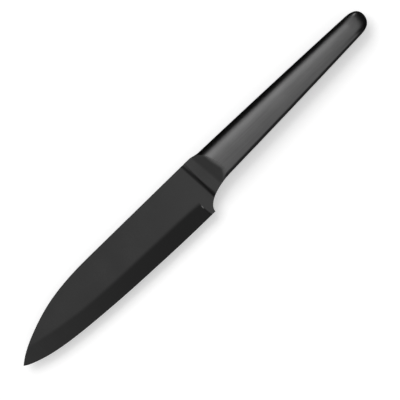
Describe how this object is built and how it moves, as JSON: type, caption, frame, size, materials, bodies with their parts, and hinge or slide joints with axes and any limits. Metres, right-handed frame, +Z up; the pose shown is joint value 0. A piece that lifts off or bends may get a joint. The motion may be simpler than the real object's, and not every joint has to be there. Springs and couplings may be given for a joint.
{
  "type": "paring knife",
  "caption": "All-steel paring knife with a ground blade, a stepped bolster and a tapered hollow handle, for trimming and slicing by hand.",
  "frame": {"origin": "on the surface that the knife lies on, under the middle of its bounding box", "axes": "+X along the knife from the tip to the butt of the handle; +Y in the blade's plane, from the cutting edge to the spine; +Z up, square to the blade's sides"},
  "size_m": [0.239, 0.0274, 0.013],
  "materials": {
    "black_coating": "matte black hard coating on stainless steel",
    "satin_steel": "dark satin, ground along the handle",
    "plain_steel": "as cut"
  },
  "bodies": {
    "root": {"blade": "black_coating", "bolster": "black_coating", "handle_shell_left": "satin_steel", "handle_shell_right": "satin_steel", "balance_weight": "plain_steel"}
  },
  "joints": []
}
